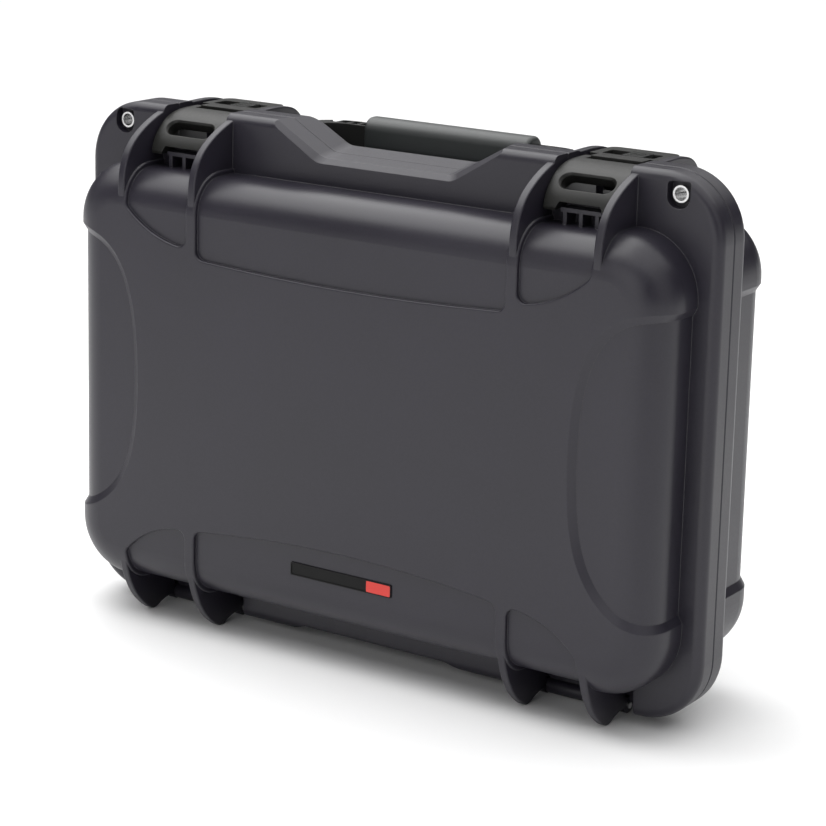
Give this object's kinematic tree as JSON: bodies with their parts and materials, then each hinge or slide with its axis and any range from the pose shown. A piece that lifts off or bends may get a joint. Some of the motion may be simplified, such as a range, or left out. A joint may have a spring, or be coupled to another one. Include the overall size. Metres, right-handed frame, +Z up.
{
  "type": "hard case",
  "caption": "Moulded hard carrying case with a hinged lid, lever latches with hooked claws and slide locks, a folding handle, a rim seal and padlock eyes.",
  "frame": {"origin": "middle of the case's footprint, on the floor it stands on, hinge edge down", "axes": "+Z up through the handle, +X along the case's width, the lid faces -Y"},
  "size_m": [0.475, 0.144, 0.346],
  "materials": {
    "shell": "fine moulded satin",
    "latch": "satin",
    "handle": "satin",
    "grip": "soft matte",
    "lock": "gloss",
    "seal": "matte",
    "steel": "drawn",
    "bush": "turned",
    "valve": "satin",
    "label": "satin print",
    "label_end": "satin print"
  },
  "bodies": {
    "base": {"base_shell": "shell", "hinge_pin_left": "steel", "hinge_pin_right": "steel", "handle_pin_left": "steel", "handle_pin_right": "steel", "lever_pin_left": "steel", "lever_pin_right": "steel", "base_padlock_bushes": "bush", "valve_body": "valve", "valve_cap": "valve"},
    "lid": {"lid_shell": "shell", "gasket": "seal", "lid_padlock_bushes": "bush", "label_plate": "label", "label_panel": "label_end"},
    "handle": {"handle_frame": "handle", "handle_grip": "grip"},
    "lever_left": {"latch_lever_left": "latch"},
    "claw_left": {"latch_claw_left": "latch", "claw_pin_left": "steel"},
    "lock_left": {"slide_lock_left": "lock"},
    "lever_right": {"latch_lever_right": "latch"},
    "claw_right": {"latch_claw_right": "latch", "claw_pin_right": "steel"},
    "lock_right": {"slide_lock_right": "lock"}
  },
  "joints": [
    {"name": "lid_hinge", "type": "hinge", "parent": "base", "child": "lid", "pos_m": [0, -0.014, 0.0058], "axis": [1, 0, 0], "range_deg": [0, 105]},
    {"name": "handle_fold", "type": "hinge", "parent": "base", "child": "handle", "pos_m": [0, 0.011, 0.332], "axis": [1, 0, 0], "range_deg": [0, 90]},
    {"name": "lever_lift_left", "type": "hinge", "parent": "base", "child": "lever_left", "pos_m": [-0.1495, 0.0055, 0.327], "axis": [1, 0, 0], "range_deg": [0, 70]},
    {"name": "claw_swing_left", "type": "hinge", "parent": "lever_left", "child": "claw_left", "pos_m": [-0.1495, 0.0025, 0.338], "axis": [1, 0, 0], "range_deg": [-98, 0]},
    {"name": "lock_slide_left", "type": "slide", "parent": "lever_left", "child": "lock_left", "axis": [-1, 0, 0], "range_m": [0, 0.007]},
    {"name": "lever_lift_right", "type": "hinge", "parent": "base", "child": "lever_right", "pos_m": [0.1495, 0.0055, 0.327], "axis": [1, 0, 0], "range_deg": [0, 70]},
    {"name": "claw_swing_right", "type": "hinge", "parent": "lever_right", "child": "claw_right", "pos_m": [0.1495, 0.0025, 0.338], "axis": [1, 0, 0], "range_deg": [-98, 0]},
    {"name": "lock_slide_right", "type": "slide", "parent": "lever_right", "child": "lock_right", "axis": [-1, 0, 0], "range_m": [0, 0.007]}
  ],
  "couplings": [
    {"joint": "claw_swing_left", "follows": "lever_lift_left", "ratio": -1.4},
    {"joint": "claw_swing_right", "follows": "lever_lift_right", "ratio": -1.4}
  ]
}
